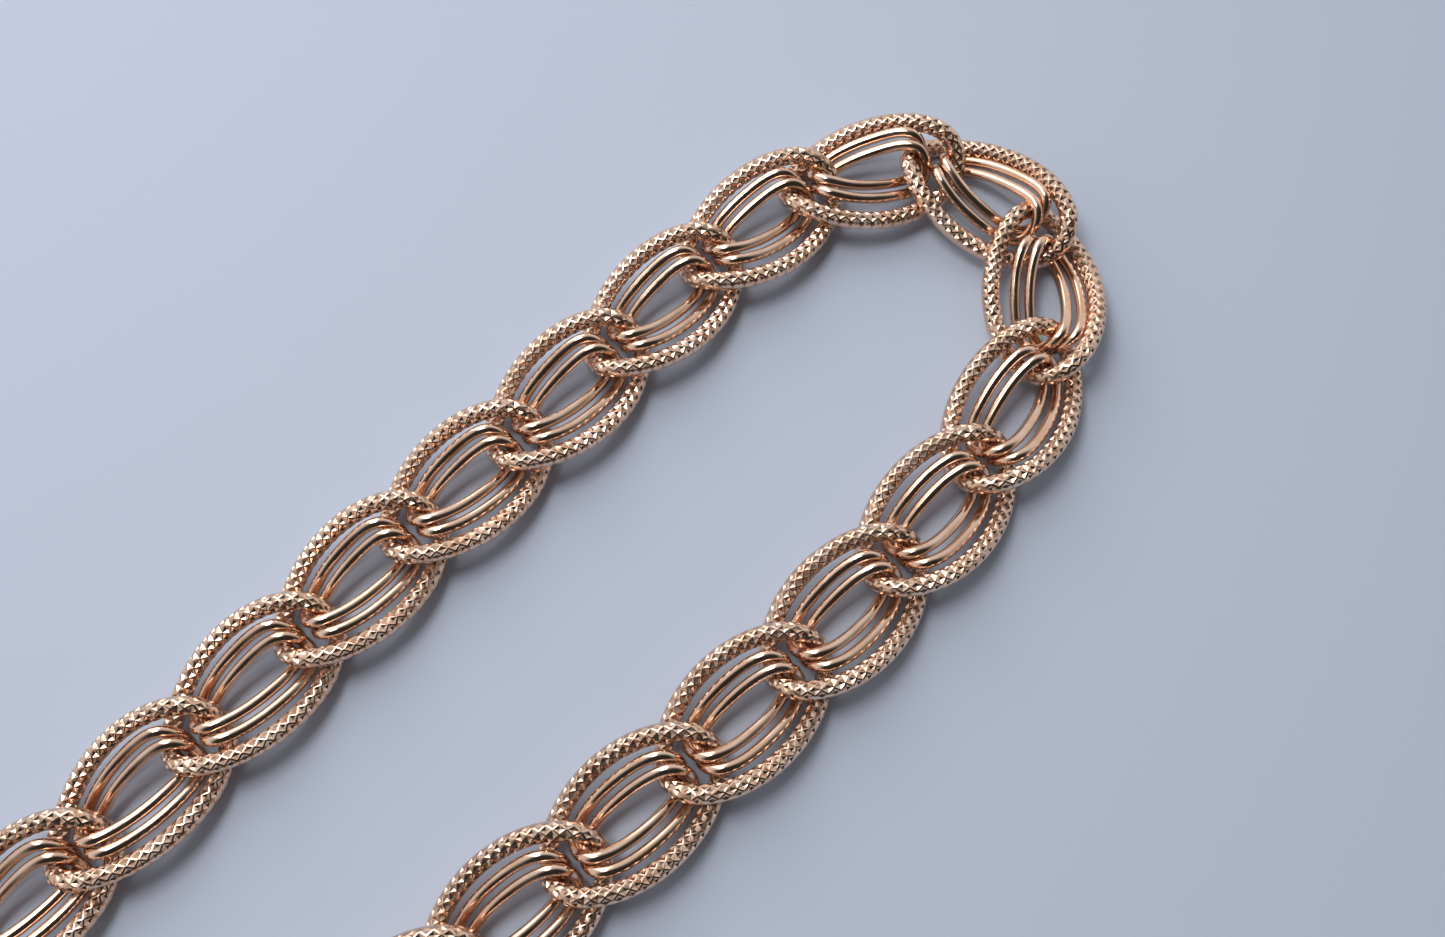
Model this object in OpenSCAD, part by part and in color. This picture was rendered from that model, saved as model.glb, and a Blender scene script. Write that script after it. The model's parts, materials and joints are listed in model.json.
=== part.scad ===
// Pocket watch chain: figured rings with pairs of plain rings inside them,
// laid flat in a U, with a bar at one end and a swivel hook at the other.
// Millimetres. +X runs along the strands to the bend, +Z is up, and the chain
// rests on z = 0 with its box centred on x = 0 and y = 0.

/* [Chain] */
// Distance from one link to the next
pitch = 11; // [9:0.5:13]
// Direction of the first link, in degrees from +X
first_heading = 2; // [0:1:5]

/* [Figured ring] */
// Half length of the ring's centre line, as a part of the pitch
figured_a = 0.692; // [0.685:0.001:0.695]
// Half width of the ring's centre line, as a part of the pitch
figured_b = 0.4; // [0.39:0.005:0.41]
// Height of the curb twist, as a part of the pitch
figured_rise = 0.105; // [0.1:0.005:0.115]
// Wire radius, to the middle of its cut surface, as a part of the pitch
figured_wire = 0.059; // [0.05:0.001:0.059]

/* [Plain ring] */
// Half length of the ring's centre line, as a part of the pitch
plain_a = 0.445; // [0.44:0.001:0.447]
// Half width of the ring's centre line, as a part of the pitch
plain_b = 0.19; // [0.185:0.001:0.195]
// Height of the curb twist, as a part of the pitch
plain_rise = 0.108; // [0.1:0.002:0.112]
// Wire radius, as a part of the pitch
plain_wire = 0.038; // [0.034:0.001:0.038]
// Sideways shift of each ring of a pair, as a part of the pitch
plain_shift = 0.057; // [0.055:0.001:0.059]

/* [Bar] */
// Length of the bar over its ends
bar_len = 34; // [30:1:34]
// Bar diameter
bar_d = 2.2; // [2:0.1:2.4]

/* [Swivel] */
// Mean radius of the hook
hook_r = 4.6; // [4.4:0.1:4.8]
// Wire radius of the hook
hook_wire = 0.85; // [0.8:0.05:0.9]
// Diameter of the gate's pin
pin_d = 0.8; // [0.7:0.05:0.8]

/* [Hidden] */
// Turn at each joint, in degrees, chosen by hand: two nearly straight strands
// and a tight bend between them
turns = [0, 0, 0, 1, -1, 1, -4, 3, -1, -6, -26, -50, -54, -31, -10, -3, -2, -3, 0, 4, 0, 0, 0];
units = len(turns) + 1;
// In a bend the links tip up a little, and the plain pairs tip less and slide outward
tip_in_bend = -4.5;
plain_tip_in_bend = -2.5;
slide_in_bend = 0.05 * pitch;
// In the tightest part the pairs also part lengthwise and step over each other:
// the link's number, and how far its pair slips forward and up
slips = [[12, -0.15, 0.25], [14, 0.1, -0.25]];
// Ring shape: pointed ends or blunt ends, and a steeper rise near the ends
figured_point = 0.1;
figured_steep = 0.2;
plain_point = -0.12;
plain_steep = 0.35;
// Facets of the swept wires
figured_sides = 8;
figured_steps = 20;
plain_sides = 6;
plain_steps = 16;
// How far the steps crowd to the ring's ends, in degrees
plain_crowd = 15;
figured_crowd = 6;
// Place of the frame's origin in the layout of the links
layout_shift = [-50.469, -4.933, 2.153];

// End fittings, measured outward from the middle of the end link
jump_r = 2;
jump_wire = 0.45;
jump_tilt = -50;
eye_r = 1.6;
eye_wire = 0.5;
slack = 0.1;
tip_at = figured_a * pitch;
jump_at = tip_at + jump_r - figured_wire * pitch - jump_wire - slack;
eye_at = jump_at + jump_r + eye_r - eye_wire - jump_wire - slack;
bar_at = eye_at + eye_r + bar_d / 2 - 0.2;
bar_chamfer = 0.4;
bar_collar = 0.3;
bar_collar_len = 3;
collar_at = eye_at + eye_r + 1.2;
collar_len = 4;
collar_d = 3.4;
collar_wall = 0.8;
stem_d = 1.2;
head_d = 2.2;
running_fit = 0.1;
hook_at = collar_at + collar_len + hook_r - 0.4;
hinge_angle = 152;
gate_tip_angle = 48;
gate_wire = 0.5;
knuckle_d = 2.2;
knuckle_len = 1;
cheek_len = 0.35;
cheek_gap = 0.08;
cheek_width = 1.8;
hook_from_angle = 176;
head_len = 0.8;
pin_fit = 0.04;
pin_head_d = 1.2;
pin_head_len = 0.15;
gate_end_gap = 1.5;
gate_root_gap = 6;
slot_from = 135;
slot_to = 175.5;
slot_reach = 1.35;
nose_reach = 7.68;
nose_from = 1.4;
spring_angle = 170.5;
spring_r = 0.22;
spring_leaf = 0.12;
spring_width = 0.8;
// Sides of the circles
fine = 64;
round = 32;

function two(i) = i < 10 ? str("0", i) : str(i);
function toward(heading) = [cos(heading), sin(heading), 0];

// Layout of the links along the chain
function heading(i) = i == 1 ? first_heading : heading(i - 1) + turns[i - 2];
function centre(i) = i == 1 ? [0, 0, 0]
    : centre(i - 1) + pitch / 2 * (toward(heading(i - 1)) + toward(heading(i)));
function bend(i) = i == 1 || i == units ? 0 : -(sin(turns[i - 2]) + sin(turns[i - 1])) / 2;
middle = (centre(1) + centre(units)) / 2;
function slip(i) = let (row = search(i, slips)) len(row) == 0 ? [i, 0, 0] : slips[row[0]];

// A ring's centre line: an oval with a curb twist
function ring_point(t, a, b, rise, point, steep) = [
    a * cos(t),
    b * sin(t) * (1 - point * cos(t) * cos(t)),
    rise * sin(2 * t) * (1 + steep * cos(2 * t))
];
function unit(v) = v / norm(v);
// Steps round the ring that crowd towards its two ends
function step_angle(k, steps, crowd) = 360 * k / steps - crowd * sin(720 * k / steps);

// A closed round wire along a ring's centre line
module ring(a, b, rise, point, steep, wire, sides, steps, crowd) {
    angles = [for (k = [0 : steps - 1]) step_angle(k, steps, crowd)];
    points = [
        for (t = angles)
            let (
                ahead = ring_point(t + 1, a, b, rise, point, steep),
                behind = ring_point(t - 1, a, b, rise, point, steep),
                along = unit(ahead - behind),
                side = unit(cross(along, [0, 0, 1])),
                up = cross(side, along)
            )
            for (j = [0 : sides - 1])
                ring_point(t, a, b, rise, point, steep)
                    + wire * (cos(360 * j / sides) * side + sin(360 * j / sides) * up)
    ];
    faces = [
        for (k = [0 : steps - 1], j = [0 : sides - 1])
            let (next = (k + 1) % steps, over = (j + 1) % sides)
            [k * sides + j, k * sides + over, next * sides + over, next * sides + j]
    ];
    polyhedron(points, faces, convexity = 6);
}

// Puts its children at the middle of link i, tipped up in a bend
module at_link(i, tip) {
    translate(layout_shift + centre(i) - middle)
        rotate([0, tip * bend(i), heading(i)])
            children();
}

module figured_link(i) {
    color("rosybrown")
        at_link(i, tip_in_bend)
            ring(figured_a * pitch, figured_b * pitch, figured_rise * pitch, figured_point,
                figured_steep, figured_wire * pitch, figured_sides, figured_steps, figured_crowd);
}

// Two plain rings side by side, crossing at both ends
module plain_pair(i) {
    color("burlywood")
        at_link(i, 0)
            translate([slip(i)[1], slide_in_bend * bend(i), slip(i)[2]])
                rotate([0, plain_tip_in_bend * bend(i), 0])
                    for (side = [-1, 1])
                        translate([0, side * plain_shift * pitch, 0])
                            ring(plain_a * pitch, plain_b * pitch, plain_rise * pitch, plain_point,
                                plain_steep, plain_wire * pitch, plain_sides, plain_steps, plain_crowd);
}

module torus(r, wire) {
    rotate_extrude($fn = fine)
        translate([r, 0])
            circle(wire, $fn = round);
}

// Part of a round ring of wire, from one angle to another
module arc_wire(r, wire, from, to) {
    rotate([0, 0, from])
        rotate_extrude(angle = to - from, $fn = fine)
            translate([r, 0])
                circle(wire, $fn = round);
}

// Puts its children beyond the first link, with +X away from the chain
module beyond_first() {
    translate(layout_shift + centre(1) - middle)
        rotate([0, 0, heading(1) + 180])
            children();
}

// Puts its children beyond the last link, with +X away from the chain
module beyond_last() {
    translate(layout_shift + centre(units) - middle)
        rotate([0, 0, heading(units)])
            children();
}

module jump_ring() {
    translate([jump_at, 0, 0])
        rotate([jump_tilt, 0, 0])
            torus(jump_r, jump_wire);
}

module bar_ring() {
    color("peru")
        beyond_first()
            jump_ring();
}

module t_bar() {
    color("burlywood")
        beyond_first() {
            translate([eye_at, 0, 0])
                torus(eye_r, eye_wire);
            translate([bar_at, 0, 0])
                rotate([90, 0, 0]) {
                    rotate_extrude($fn = fine)
                        polygon([
                            [0, -bar_len / 2],
                            [bar_d / 2 - bar_chamfer, -bar_len / 2],
                            [bar_d / 2, bar_chamfer - bar_len / 2],
                            [bar_d / 2, bar_len / 2 - bar_chamfer],
                            [bar_d / 2 - bar_chamfer, bar_len / 2],
                            [0, bar_len / 2]
                        ]);
                    cylinder(d = bar_d + 2 * bar_collar, h = bar_collar_len, center = true, $fn = fine);
                }
        }
}

module swivel_ring() {
    color("peru")
        beyond_last()
            jump_ring();
}

// An eye on a stem, with a head that is held inside the hook's collar
module swivel_eye() {
    stem_from = eye_at + eye_r;
    head_from = collar_at + collar_wall + running_fit;
    color("burlywood")
        beyond_last() {
            translate([eye_at, 0, 0])
                torus(eye_r, eye_wire);
            translate([stem_from, 0, 0])
                rotate([0, 90, 0])
                    cylinder(d = stem_d, h = head_from - stem_from + head_len / 2, $fn = fine);
            translate([head_from, 0, 0])
                rotate([0, 90, 0])
                    cylinder(d = head_d, h = head_len, $fn = fine);
        }
}

// Puts its children on the axis of the gate's pin
module at_hinge() {
    translate([hook_at, 0, 0])
        rotate([0, 0, hinge_angle])
            translate([hook_r, 0, 0])
                children();
}

module swivel_hook() {
    cheek_from = knuckle_len / 2 + cheek_gap;
    color("burlywood")
        beyond_last()
            difference() {
                union() {
                    translate([collar_at, 0, 0])
                        rotate([0, 90, 0])
                            cylinder(d = collar_d, h = collar_len, $fn = fine);
                    translate([hook_at, 0, 0])
                        arc_wire(hook_r, hook_wire, hook_from_angle, 360 + gate_tip_angle);
                    for (side = [0, 1])
                        mirror([0, 0, side])
                            translate([0, 0, cheek_from])
                                cheek();
                }
                translate([collar_at - 1, 0, 0])
                    rotate([0, 90, 0])
                        cylinder(d = stem_d + 2 * running_fit, h = collar_wall + 1.5, $fn = fine);
                translate([collar_at + collar_wall, 0, 0])
                    rotate([0, 90, 0])
                        cylinder(d = head_d + 2 * running_fit, h = head_len + 2 * running_fit, $fn = fine);
                at_hinge()
                    cylinder(d = pin_d + pin_fit, h = 4, center = true, $fn = fine);
                gate_slot();
                nose_slot();
            }
}

// The notch in the hook's nose that the gate's tip swings through
module nose_slot() {
    intersection() {
        at_hinge()
            cylinder(r = nose_reach, h = knuckle_len + 2 * cheek_gap, center = true, $fn = 2 * fine);
        translate([hook_at + 1, nose_from, -2])
            cube([6, 6, 4]);
    }
}

// The slot between the cheeks, where the gate's knuckle and the spring sit
module gate_slot() {
    slot = knuckle_len + 2 * cheek_gap;
    translate([hook_at, 0, 0])
        rotate([0, 0, slot_from])
            rotate_extrude(angle = slot_to - slot_from, $fn = fine)
                translate([hook_r - slot_reach, -slot / 2])
                    square([2 * slot_reach, slot]);
}

// One side of the fork that holds the gate
module cheek() {
    at_hinge()
        cylinder(d = knuckle_d, h = cheek_len, $fn = fine);
    translate([hook_at, 0, 0])
        rotate([0, 0, hinge_angle])
            rotate_extrude(angle = 180 - hinge_angle, $fn = fine)
                translate([hook_r - cheek_width / 2, 0])
                    square([cheek_width, cheek_len]);
}

module swivel_gate() {
    color("tan")
        beyond_last()
            difference() {
                union() {
                    at_hinge()
                        cylinder(d = knuckle_d, h = knuckle_len, center = true, $fn = fine);
                    translate([hook_at, 0, 0])
                        arc_wire(hook_r, gate_wire, gate_tip_angle + gate_end_gap, hinge_angle - gate_root_gap);
                }
                at_hinge()
                    cylinder(d = pin_d + 2 * pin_fit, h = 4, center = true, $fn = fine);
            }
}

module gate_pin() {
    fork = knuckle_len + 2 * (cheek_gap + cheek_len);
    color("sienna")
        beyond_last()
            at_hinge() {
                cylinder(d = pin_d, h = fork + pin_head_len, center = true, $fn = fine);
                for (side = [0, 1])
                    mirror([0, 0, side])
                        translate([0, 0, fork / 2])
                            cylinder(d = pin_head_d, h = pin_head_len, $fn = fine);
            }
}

// A rolled leaf between the gate's knuckle and the end of the hook's wire
module gate_spring() {
    color("gray")
        beyond_last()
            translate([hook_at, 0, 0])
                rotate([0, 0, spring_angle])
                    translate([hook_r, 0, 0])
                        rotate_extrude(angle = 300, $fn = fine)
                            translate([spring_r, -spring_width / 2])
                                square([spring_leaf, spring_width]);
}

for (i = [1 : units])
    figured_link(i);
for (i = [2 : units - 1])
    plain_pair(i);
bar_ring();
t_bar();
swivel_ring();
swivel_eye();
swivel_hook();
swivel_gate();
gate_pin();
gate_spring();
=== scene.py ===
import json
import math

import bpy
import numpy as np
from mathutils import Matrix, Vector

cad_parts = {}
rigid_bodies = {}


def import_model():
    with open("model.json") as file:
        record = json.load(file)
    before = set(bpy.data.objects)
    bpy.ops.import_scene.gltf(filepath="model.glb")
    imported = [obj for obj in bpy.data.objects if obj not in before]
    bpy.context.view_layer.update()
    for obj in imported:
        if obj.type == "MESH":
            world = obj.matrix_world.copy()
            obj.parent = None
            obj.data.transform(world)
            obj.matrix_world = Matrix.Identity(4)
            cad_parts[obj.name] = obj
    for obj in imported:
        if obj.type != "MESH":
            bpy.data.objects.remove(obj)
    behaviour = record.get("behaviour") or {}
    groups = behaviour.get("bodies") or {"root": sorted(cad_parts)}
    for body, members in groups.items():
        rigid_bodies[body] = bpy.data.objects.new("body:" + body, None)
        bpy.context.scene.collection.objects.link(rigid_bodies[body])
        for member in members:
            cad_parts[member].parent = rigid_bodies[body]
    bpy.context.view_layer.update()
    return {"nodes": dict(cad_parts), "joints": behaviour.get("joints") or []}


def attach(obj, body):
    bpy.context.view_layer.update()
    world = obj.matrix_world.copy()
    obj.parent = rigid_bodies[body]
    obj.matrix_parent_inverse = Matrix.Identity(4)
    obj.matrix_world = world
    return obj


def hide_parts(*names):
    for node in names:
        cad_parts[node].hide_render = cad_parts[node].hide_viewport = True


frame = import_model()

# Sizes of the links, in metres, as in the frame
PITCH = 0.011
FIGURED = dict(a=0.692 * PITCH, b=0.4 * PITCH, rise=0.105 * PITCH, point=0.1, steep=0.2)
PLAIN = dict(a=0.445 * PITCH, b=0.19 * PITCH, rise=0.108 * PITCH, point=-0.12, steep=0.35)
PLAIN_SHIFT = 0.057 * PITCH
PLAIN_WIRE = 0.0415 * PITCH
FIGURED_WIRE = 0.0675 * PITCH
CUT_DEPTH = 0.0155 * PITCH
TIP_IN_BEND = -4.5           # degrees
PLAIN_TIP_IN_BEND = -2.5
SLIDE_IN_BEND = 0.05 * PITCH
SLIPS = {12: (-0.00015, 0.00025), 14: (0.0001, -0.00025)}   # link: forward, up
UNITS = 24
CUTS_LONG, CUTS_ROUND = 44, 6    # diamond cuts along the wire and round it
ROW_AT = math.radians(80)        # a row of cuts lies here, from the wire's outer side towards its top
CUT_SHARP, FITTING_SHARP = math.radians(17), math.radians(38)   # edges steeper than this stay crisp
# Corners and edge middles of one diamond, in cells
LOOP = [(0.5, 0), (0.25, 0.25), (0, 0.5), (-0.25, 0.25), (-0.5, 0), (-0.25, -0.25), (0, -0.5), (0.25, -0.25)]


# ---------------------------------------------------------------- camera
camera_data = bpy.data.cameras.new("camera")
camera = bpy.data.objects.new("camera", camera_data)
bpy.context.scene.collection.objects.link(camera)
bpy.context.scene.camera = camera
camera_data.sensor_width = 36
camera_data.lens = 28
camera_data.clip_start = 0.004
camera_data.clip_end = 10
camera_data.dof.use_dof = False
CAMERA_AT = Vector((0.0186, -0.0205, 0.0892))
HEADING, DOWN = math.radians(46.17), math.radians(74.91)
forward = Vector((
    math.cos(HEADING) * math.cos(DOWN),
    math.sin(HEADING) * math.cos(DOWN),
    -math.sin(DOWN),
))
right = Vector((math.sin(HEADING), -math.cos(HEADING), 0))
up = right.cross(forward)
camera.matrix_world = Matrix((
    (right.x, up.x, -forward.x, CAMERA_AT.x),
    (right.y, up.y, -forward.y, CAMERA_AT.y),
    (right.z, up.z, -forward.z, CAMERA_AT.z),
    (0, 0, 0, 1),
))


# ---------------------------------------------------------------- where the links lie
def joint_between(one, other):
    for joint in frame["joints"]:
        if {joint["parent"], joint["child"]} == {one, other}:
            return Vector(joint["pos_m"])
    raise ValueError(f"no joint between {one} and {other}")


def link(i):
    return f"link_{i:02d}"


pivots = {i: joint_between(link(i), link(i + 1)) for i in range(1, UNITS)}
directions = {i: (pivots[i] - pivots[i - 1]).normalized() for i in range(2, UNITS)}
directions[1] = (pivots[1] - joint_between("bar_ring", link(1))).normalized()
directions[UNITS] = (joint_between(link(UNITS), "swivel_ring") - pivots[UNITS - 1]).normalized()
centres = {i: (pivots[i] + pivots[i - 1]) / 2 for i in range(2, UNITS)}
centres[1] = pivots[1] - directions[1] * PITCH / 2
centres[UNITS] = pivots[UNITS - 1] + directions[UNITS] * PITCH / 2


def turn_sine(i):
    return directions[i].cross(directions[i + 1]).z


def bend(i):
    return 0 if i in (1, UNITS) else -(turn_sine(i - 1) + turn_sine(i)) / 2


def link_place(i, tip):
    heading = math.atan2(directions[i].y, directions[i].x)
    return (Matrix.Translation(centres[i]) @ Matrix.Rotation(heading, 4, "Z")
            @ Matrix.Rotation(math.radians(tip * bend(i)), 4, "Y"))


def pair_place(i):
    forward_slip, up_slip = SLIPS.get(i, (0, 0))
    return (link_place(i, 0) @ Matrix.Translation((forward_slip, SLIDE_IN_BEND * bend(i), up_slip))
            @ Matrix.Rotation(math.radians(PLAIN_TIP_IN_BEND * bend(i)), 4, "Y"))


# ---------------------------------------------------------------- ring meshes
def oval(t, a, b, rise, point, steep):
    return np.stack([
        a * np.cos(t),
        b * np.sin(t) * (1 - point * np.cos(t) ** 2),
        rise * np.sin(2 * t) * (1 + steep * np.cos(2 * t)),
    ], axis=-1)


def along_oval(share, shape):
    """Angle, point, outward side and up at each share of the way round an oval, from 0 to 1."""
    t = np.linspace(0, 2 * math.pi, 6001)
    line = oval(t, **shape)
    length = np.concatenate([[0], np.cumsum(np.linalg.norm(np.diff(line, axis=0), axis=1))])
    t = np.interp(np.mod(share, 1) * length[-1], length, t)
    along = oval(t + 1e-3, **shape) - oval(t - 1e-3, **shape)
    along /= np.linalg.norm(along, axis=1)[:, None]
    side = np.cross(along, [0, 0, 1])
    side /= np.linalg.norm(side, axis=1)[:, None]
    return t, oval(t, **shape), side, np.cross(side, along)


def tube(points, side, ups, radius, sides):
    """Vertices of a round tube along a closed line."""
    phi = np.arange(sides) / sides * 2 * math.pi
    ring = np.cos(phi)[None, :, None] * side[:, None] + np.sin(phi)[None, :, None] * ups[:, None]
    return (points[:, None] + radius * ring).reshape(-1, 3)


def smooth(x, low, high):
    x = np.clip((x - low) / (high - low), 0, 1)
    return x * x * (3 - 2 * x)


def new_mesh(name, vertices, faces):
    mesh = bpy.data.meshes.new(name)
    mesh.from_pydata(vertices.tolist(), [], faces)
    mesh.validate()
    mesh.polygons.foreach_set("use_smooth", [True] * len(mesh.polygons))
    mesh.update()
    return mesh


def point_value(mesh, name, values):
    attribute = mesh.attributes.new(name, "FLOAT", "POINT")
    attribute.data.foreach_set("value", np.asarray(values, np.float32).ravel())


def figured_mesh():
    """An oval ring of round wire, cut all over with diamond-shaped hollows.
    The cuts are largest on top and inside, and small where the wire is worn, outside and at its ends."""
    u_all, v_all, depth_all, faces, corners = [], [], [], [], {}

    def vertex(u, v, depth):
        u_all.append(u)
        v_all.append(v)
        depth_all.append(depth)
        return len(u_all) - 1

    def corner(u, v):
        key = (round(4 * u) % (4 * CUTS_LONG), round(4 * v) % (4 * CUTS_ROUND))
        if key not in corners:
            corners[key] = vertex(u, v, 0)
        return corners[key]

    cells = [(n + 0.5 * (row % 2 == 0), row / 2)
             for row in range(2 * CUTS_ROUND) for n in range(CUTS_LONG)]
    t, _, _, _ = along_oval(np.array([u for u, v in cells]) / CUTS_LONG, FIGURED)
    for (u, v), angle in zip(cells, t):
        phi = ROW_AT + v / CUTS_ROUND * 2 * math.pi
        nose = smooth(abs(math.cos(angle)), 0.86, 0.98)
        outside = smooth(math.cos(phi - math.radians(-15)), 0.25, 0.8)
        inside = smooth(-math.cos(phi), 0.2, 0.9)
        share = (0.86 - 0.62 * outside) * (1 - 0.5 * nose * (0.35 + 0.65 * inside))
        outer = [corner(u + du, v + dv) for du, dv in LOOP]
        inner = [vertex(u + share * du, v + share * dv, 0) for du, dv in LOOP]
        middle = vertex(u, v, share * CUT_DEPTH)
        for k in range(8):
            m = (k + 1) % 8
            faces.append((outer[k], outer[m], inner[m], inner[k]))
            faces.append((inner[k], inner[m], middle))
    u_all, v_all, depth_all = np.array(u_all), np.array(v_all), np.array(depth_all)
    t, points, side, ups = along_oval(u_all / CUTS_LONG, FIGURED)
    phi = ROW_AT + v_all / CUTS_ROUND * 2 * math.pi
    out = np.cos(phi)[:, None] * side + np.sin(phi)[:, None] * ups
    mesh = new_mesh("figured_link", points + (FIGURED_WIRE - depth_all)[:, None] * out, faces)
    mesh.set_sharp_from_angle(angle=CUT_SHARP)
    point_value(mesh, "cut", depth_all / CUT_DEPTH)
    worn = smooth(np.abs(np.cos(t)), 0.86, 0.98) + smooth(np.cos(phi), 0.3, 0.8)
    point_value(mesh, "worn", np.clip(worn, 0, 1))
    return mesh


def pair_mesh():
    """Two plain oval rings side by side, crossing at both ends."""
    steps, sides = 144, 24
    _, points, side, ups = along_oval(np.arange(steps) / steps, PLAIN)
    vertices, faces = [], []
    for n, y in enumerate((-PLAIN_SHIFT, PLAIN_SHIFT)):
        vertices.append(tube(points + [0, y, 0], side, ups, PLAIN_WIRE, sides))
        base = n * steps * sides
        for a in range(steps):
            b = (a + 1) % steps
            for c in range(sides):
                d = (c + 1) % sides
                here, there = base + a * sides, base + b * sides
                faces.append((here + c, here + d, there + d, there + c))
    return new_mesh("plain_pair", np.concatenate(vertices), faces)


# ---------------------------------------------------------------- materials
def colour(r, g, b):
    """A colour from the usual 0 to 255 values, as light."""
    return tuple(((c / 255 + 0.055) / 1.055) ** 2.4 if c > 10 else c / 3294 for c in (r, g, b)) + (1,)


RANGE_SOCKETS = ("From Min", "From Max", "To Min", "To Max")


class Nodes:
    """A short way to write a material's nodes."""

    def __init__(self, name):
        self.material = bpy.data.materials.new(name)
        self.material.use_nodes = True
        self.tree = self.material.node_tree
        self.shader = self.tree.nodes["Principled BSDF"]

    def add(self, kind, **settings):
        node = self.tree.nodes.new(kind)
        for key, value in settings.items():
            setattr(node, key, value)
        return node

    def join(self, output, socket):
        self.tree.links.new(output, socket)

    def attribute(self, name):
        return self.add("ShaderNodeAttribute", attribute_name=name).outputs["Fac"]

    def noise(self, scale, detail, roughness=0.5, stretch=None):
        where = self.add("ShaderNodeTexCoord").outputs["Object"]
        if stretch:
            mapping = self.add("ShaderNodeMapping")
            mapping.inputs["Scale"].default_value = stretch
            self.join(where, mapping.inputs["Vector"])
            where = mapping.outputs["Vector"]
        node = self.add("ShaderNodeTexNoise")
        node.inputs["Scale"].default_value = scale
        node.inputs["Detail"].default_value = detail
        node.inputs["Roughness"].default_value = roughness
        self.join(where, node.inputs["Vector"])
        return node.outputs["Fac"]

    def span(self, value, low, high, to_low, to_high):
        node = self.add("ShaderNodeMapRange")
        self.join(value, node.inputs["Value"])
        for key, number in zip(RANGE_SOCKETS, (low, high, to_low, to_high)):
            node.inputs[key].default_value = number
        return node.outputs["Result"]

    def math(self, operation, one, other):
        node = self.add("ShaderNodeMath", operation=operation)
        for n, value in enumerate((one, other)):
            if isinstance(value, (int, float)):
                node.inputs[n].default_value = value
            else:
                self.join(value, node.inputs[n])
        return node.outputs[0]

    def mix(self, share, one, other):
        node = self.add("ShaderNodeMix", data_type="RGBA")
        self.join(share, node.inputs[0])
        for n, value in ((6, one), (7, other)):
            if isinstance(value, tuple):
                node.inputs[n].default_value = value
            else:
                self.join(value, node.inputs[n])
        return node.outputs[2]

    def bump(self, height, distance, strength):
        node = self.add("ShaderNodeBump")
        node.inputs["Distance"].default_value = distance
        node.inputs["Strength"].default_value = strength
        self.join(height, node.inputs["Height"])
        return node.outputs["Normal"]


GOLD = colour(236, 205, 184)
GOLD_WARM = colour(224, 184, 156)
# painted shade colour, laid into the hollows of the diamond cuts
CUT_SHADE = colour(138, 96, 74)
GRAIN_DEPTH, SCRATCH_DEPTH = 0.00001, 0.000012   # metres


def figured_gold():
    n = Nodes("figured_gold")
    n.shader.inputs["Metallic"].default_value = 1
    cut, worn = n.attribute("cut"), n.attribute("worn")
    patches = n.noise(420, 4, 0.6)
    # painted shade: the deeper parts of each cut are darkened towards the shade colour, less where the wire
    # is worn, in random patches; the same share also makes the cuts rougher
    cut_shade = n.math("MULTIPLY", n.span(cut, 0.2, 0.9, 0.0, 0.6), n.span(worn, 0, 1, 1, 0.55))
    cut_shade = n.math("MULTIPLY", cut_shade, n.span(patches, 0.35, 0.65, 0.6, 1.0))
    metal = n.mix(n.span(patches, 0.35, 0.65, 0, 1), GOLD, GOLD_WARM)
    n.join(n.mix(cut_shade, metal, CUT_SHADE), n.shader.inputs["Base Color"])
    rough = n.math("ADD", n.span(n.noise(1800, 3), 0.3, 0.7, 0.16, 0.26), n.math("MULTIPLY", cut_shade, 0.14))
    n.join(rough, n.shader.inputs["Roughness"])
    n.join(n.bump(n.noise(3200, 2), GRAIN_DEPTH, 0.25), n.shader.inputs["Normal"])
    return n.material


def polished_gold(name, patch_scale, haze_scale, roughest, scratch_scale, stretch):
    """Smooth gold with faint patches of warmer colour, haze, and scratches that run along the wire."""
    n = Nodes(name)
    n.shader.inputs["Metallic"].default_value = 1
    patches = n.noise(patch_scale, 4, 0.6)
    metal = n.mix(n.span(patches, 0.35, 0.65, 0, 1), GOLD, GOLD_WARM)
    n.join(metal, n.shader.inputs["Base Color"])
    n.join(n.span(n.noise(haze_scale, 3), 0.3, 0.7, 0.12, roughest), n.shader.inputs["Roughness"])
    scratches = n.noise(scratch_scale, 4, 0.65, stretch=stretch)
    n.join(n.bump(scratches, SCRATCH_DEPTH, 0.35), n.shader.inputs["Normal"])
    return n.material


# ---------------------------------------------------------------- the links
figured, pair = figured_mesh(), pair_mesh()
figured.materials.append(figured_gold())
pair.materials.append(polished_gold("plain_gold", 300, 1500, 0.22, 1400, (0.12, 2.2, 2.2)))
for i in range(1, UNITS + 1):
    piece = bpy.data.objects.new(f"knurled_ring_{i:02d}", figured)
    bpy.context.scene.collection.objects.link(piece)
    piece.matrix_world = link_place(i, TIP_IN_BEND)
    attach(piece, link(i))
    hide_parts(f"figured_link_{i:02d}")
    if 1 < i < UNITS:
        piece = bpy.data.objects.new(f"smooth_pair_{i:02d}", pair)
        bpy.context.scene.collection.objects.link(piece)
        piece.matrix_world = pair_place(i)
        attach(piece, link(i))
        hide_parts(f"plain_pair_{i:02d}")

# ---------------------------------------------------------------- the fittings
# Distances along the end link's line from its middle, and radii, in metres
JUMP_AT, JUMP_R, JUMP_WIRE, JUMP_TILT = 0.008413, 0.002, 0.00045, math.radians(-50)
EYE_AT, EYE_R, EYE_WIRE = 0.010963, 0.0016, 0.0005
BAR_AT = 0.013463


def beyond(i, outward):
    """The place of the fittings beyond an end link, with X away from the chain."""
    return Matrix.Translation(centres[i]) @ Matrix.Rotation(math.atan2(outward.y, outward.x), 4, "Z")


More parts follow.
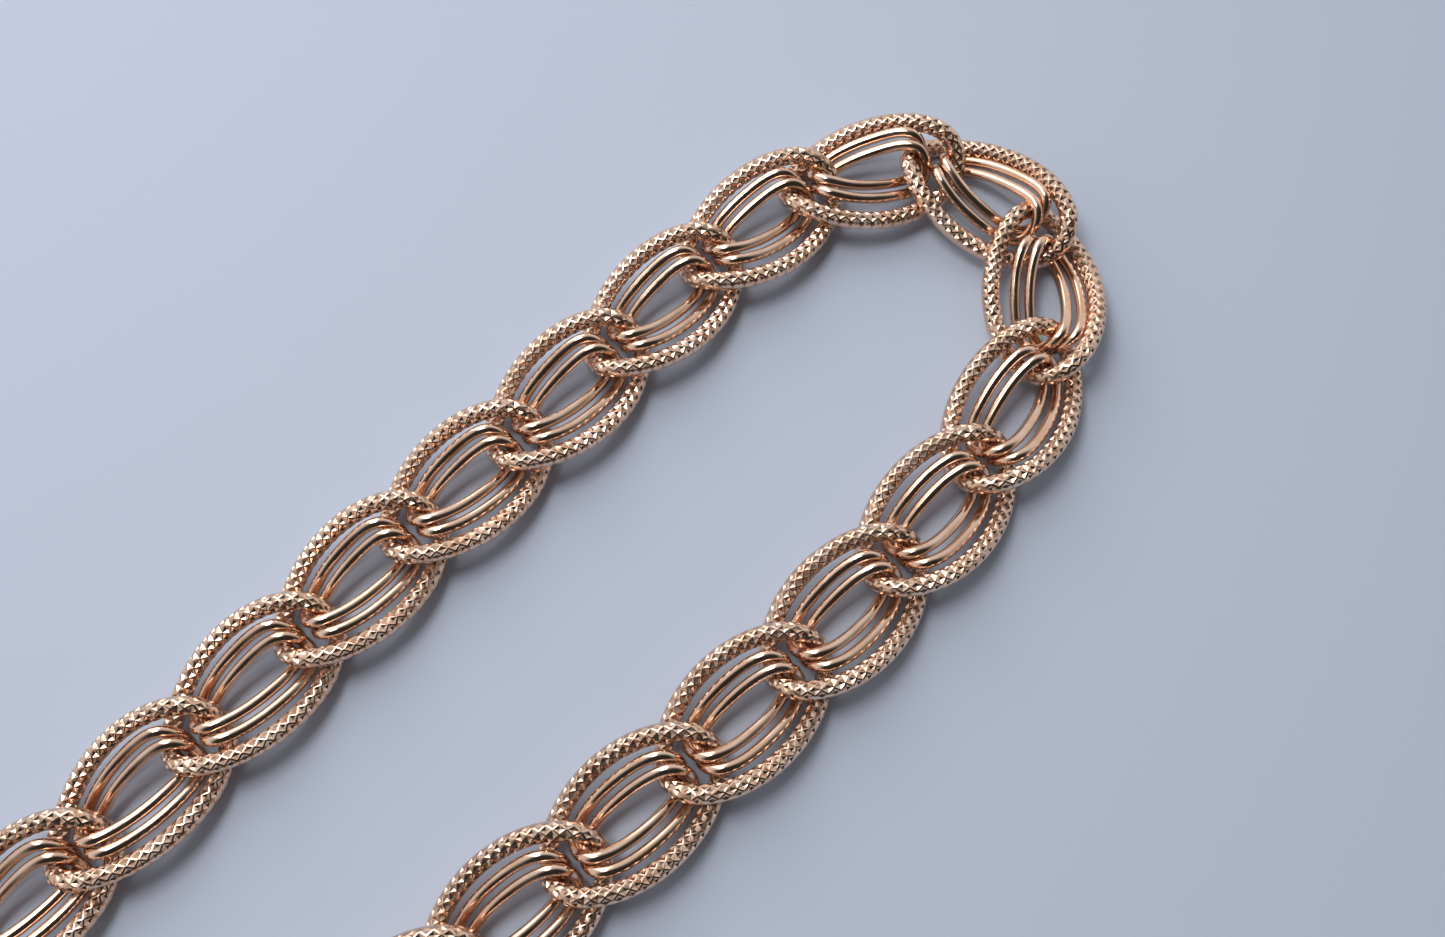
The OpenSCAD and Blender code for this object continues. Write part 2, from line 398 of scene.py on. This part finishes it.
def torus(radius, wire, steps=120, sides=28, seam=0.0):
    """A round wire ring in the XY plane. seam is how deep its soldered joint dips, as a part of the wire."""
    t = np.arange(steps) / steps * 2 * math.pi
    phi = np.arange(sides) / sides * 2 * math.pi
    dip = 1 - seam * np.exp(-((t - math.pi * 0.5) / 0.035) ** 2)
    r = wire * dip[:, None] * np.ones(sides)
    x = (radius + r * np.cos(phi)) * np.cos(t)[:, None]
    y = (radius + r * np.cos(phi)) * np.sin(t)[:, None]
    vertices = np.stack([x, y, r * np.sin(phi)], axis=-1).reshape(-1, 3)
    faces = []
    for a in range(steps):
        b = (a + 1) % steps
        for c in range(sides):
            d = (c + 1) % sides
            faces.append((a * sides + c, b * sides + c, b * sides + d, a * sides + d))
    return vertices, faces


def turned(profile, sides=72):
    """A turned shape round X from (x, radius) pairs in millimetres, closed at both ends."""
    phi = np.arange(sides) / sides * 2 * math.pi
    vertices, faces = [(profile[0][0], 0, 0)], []
    for x, r in profile:
        vertices += [(x, r * math.cos(f), r * math.sin(f)) for f in phi]
    vertices.append((profile[-1][0], 0, 0))
    last = len(vertices) - 1
    for c in range(sides):
        d = (c + 1) % sides
        faces.append((0, 1 + d, 1 + c))
        faces.append((last, last - sides + c, last - sides + d))
        for k in range(len(profile) - 1):
            a = 1 + k * sides
            faces.append((a + c, a + d, a + sides + d, a + sides + c))
    return np.array(vertices) * 0.001, faces


def moved(shape, matrix):
    vertices, faces = shape
    return np.array([matrix @ Vector(v) for v in vertices]), faces


def joined(name, *shapes):
    vertices, faces, base = [], [], 0
    for shape_vertices, shape_faces in shapes:
        vertices.append(shape_vertices)
        faces += [tuple(v + base for v in face) for face in shape_faces]
        base += len(shape_vertices)
    mesh = new_mesh(name, np.concatenate(vertices), faces)
    mesh.set_sharp_from_angle(angle=FITTING_SHARP)
    mesh.materials.append(fittings)
    return mesh


def add_fitting(name, mesh, place, body, node):
    piece = bpy.data.objects.new(name, mesh)
    bpy.context.scene.collection.objects.link(piece)
    piece.matrix_world = place
    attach(piece, body)
    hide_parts(node)


fittings = polished_gold("fittings_gold", 260, 1300, 0.24, 1600, (0.2, 1.6, 1.6))
bar_end = beyond(1, -directions[1])
swivel_end = beyond(UNITS, directions[UNITS])

jump = joined("jump_ring", torus(JUMP_R, JUMP_WIRE, seam=0.12))
jump_place = Matrix.Translation((JUMP_AT, 0, 0)) @ Matrix.Rotation(JUMP_TILT, 4, "X")
add_fitting("jump_ring_bar", jump, bar_end @ jump_place, "bar_ring", "bar_ring")
add_fitting("jump_ring_swivel", jump, swivel_end @ jump_place, "swivel_ring", "swivel_ring")

# Half of the bar from its middle outward, as (along, radius) in millimetres
half_bar = [
    (0.0, 1.3), (0.25, 1.3), (0.4, 1.4), (1.25, 1.4), (1.42, 1.35), (1.5, 1.22), (1.6, 1.1), (1.9, 1.1),
    (2.1, 1.1), (2.25, 0.98), (2.45, 0.98), (2.6, 1.1), (2.8, 1.1), (13.9, 1.1), (14.1, 1.1), (14.25, 0.96),
    (14.4, 1.1), (14.65, 1.1), (14.8, 0.96), (14.95, 1.1), (15.6, 1.1), (16.1, 1.06), (16.5, 0.94),
    (16.75, 0.76), (16.92, 0.48), (17.0, 0.16),
]
profile = [(-x, r) for x, r in reversed(half_bar[1:])] + half_bar
bar_place = Matrix.Translation((BAR_AT, 0, 0)) @ Matrix.Rotation(math.pi / 2, 4, "Z")
bar = moved(turned(profile), bar_place)
eye = moved(torus(EYE_R, EYE_WIRE), Matrix.Translation((EYE_AT, 0, 0)))
add_fitting("button_bar", joined("button_bar", bar, eye), bar_end, "bar", "t_bar")

# The stem from the eye to its head, as (along, radius) in millimetres
stem = [
    (12.45, 0.75), (12.6, 0.72), (12.75, 0.6), (13.1, 0.6), (13.2, 0.85), (13.3, 0.95), (13.42, 0.95),
    (13.52, 0.85), (13.6, 0.6), (14.6, 0.6), (14.66, 0.6), (14.67, 1.05), (14.72, 1.1), (15.4, 1.1),
    (15.46, 1.04),
]
eye_and_stem = joined("swivel_eye_and_stem", eye, turned(stem))
add_fitting("swivel_eye_and_stem", eye_and_stem, swivel_end, "swivel_eye", "swivel_eye")



def spring_steel():
    n = Nodes("spring_steel")
    n.shader.inputs["Metallic"].default_value = 1
    metal = n.mix(n.noise(900, 3), colour(120, 116, 112), colour(84, 86, 98))
    n.join(metal, n.shader.inputs["Base Color"])
    n.join(n.span(n.noise(1500, 3), 0.3, 0.7, 0.25, 0.4), n.shader.inputs["Roughness"])
    return n.material


# The rest of the swivel is shown as the CAD solids, with better materials
for name, material in (("swivel_hook", fittings), ("swivel_gate", fittings), ("gate_pin", fittings),
                       ("gate_spring", spring_steel())):
    node = frame["nodes"][name]
    node.data.materials.clear()
    node.data.materials.append(material)


# ---------------------------------------------------------------- floor and light
def floor_cloth():
    n = Nodes("floor_cloth")
    n.shader.inputs["Base Color"].default_value = colour(197, 205, 222)
    n.shader.inputs["Roughness"].default_value = 0.95
    n.shader.inputs["Specular IOR Level"].default_value = 0.1
    return n.material


FLOOR_HALF = 3.0
FLOOR_Z = -0.00012      # just under the lowest ring
floor_mesh = bpy.data.meshes.new("floor")
corners = [(x * FLOOR_HALF, y * FLOOR_HALF, FLOOR_Z) for x, y in ((-1, -1), (1, -1), (1, 1), (-1, 1))]
floor_mesh.from_pydata(corners, [], [(0, 1, 2, 3)])
floor = bpy.data.objects.new("floor", floor_mesh)
bpy.context.scene.collection.objects.link(floor)
floor_mesh.materials.append(floor_cloth())


def sky_direction(heading, rise):
    h, r = math.radians(heading), math.radians(rise)
    return math.cos(h) * math.cos(r), math.sin(h) * math.cos(r), math.sin(r)


def softbox(name, heading, rise, distance, size, power, tint=(1, 1, 1)):
    """A square soft light that faces the chain from that heading and height, in degrees."""
    data = bpy.data.lights.new(name, "AREA")
    data.shape = "SQUARE"
    data.size = size
    data.energy = power
    data.color = tint
    obj = bpy.data.objects.new(name, data)
    bpy.context.scene.collection.objects.link(obj)
    towards = Vector(sky_direction(heading, rise))
    obj.location = towards * distance
    obj.rotation_euler = towards.to_track_quat("Z", "Y").to_euler()


softbox("key", 85, 68, 0.28, 0.1, 0.3)
softbox("window", 75, 35, 0.4, 0.3, 0.5, (0.94, 0.97, 1.0))


DARK_SIDE = (-112, 48)   # heading and height of its middle, in degrees


def studio_world():
    """Soft light from all round, with one dark side, so that the metal has something dark to reflect."""
    world = bpy.data.worlds.new("world")
    world.use_nodes = True
    tree = world.node_tree
    direction = tree.nodes.new("ShaderNodeTexCoord").outputs["Generated"]
    facing = tree.nodes.new("ShaderNodeVectorMath")
    facing.operation = "DOT_PRODUCT"
    facing.inputs[1].default_value = sky_direction(*DARK_SIDE)
    tree.links.new(direction, facing.inputs[0])
    fade = tree.nodes.new("ShaderNodeMapRange")
    fade.interpolation_type = "SMOOTHSTEP"
    tree.links.new(facing.outputs["Value"], fade.inputs["Value"])
    for key, number in zip(RANGE_SOCKETS, (0.2, 0.8, 0.8, 0.03)):
        fade.inputs[key].default_value = number
    background = tree.nodes["Background"]
    background.inputs["Color"].default_value = (0.96, 0.98, 1.0, 1)
    tree.links.new(fade.outputs["Result"], background.inputs["Strength"])
    return world


bpy.context.scene.world = studio_world()

bpy.context.scene.view_settings.view_transform = "Standard"
bpy.context.scene.view_settings.look = "None"
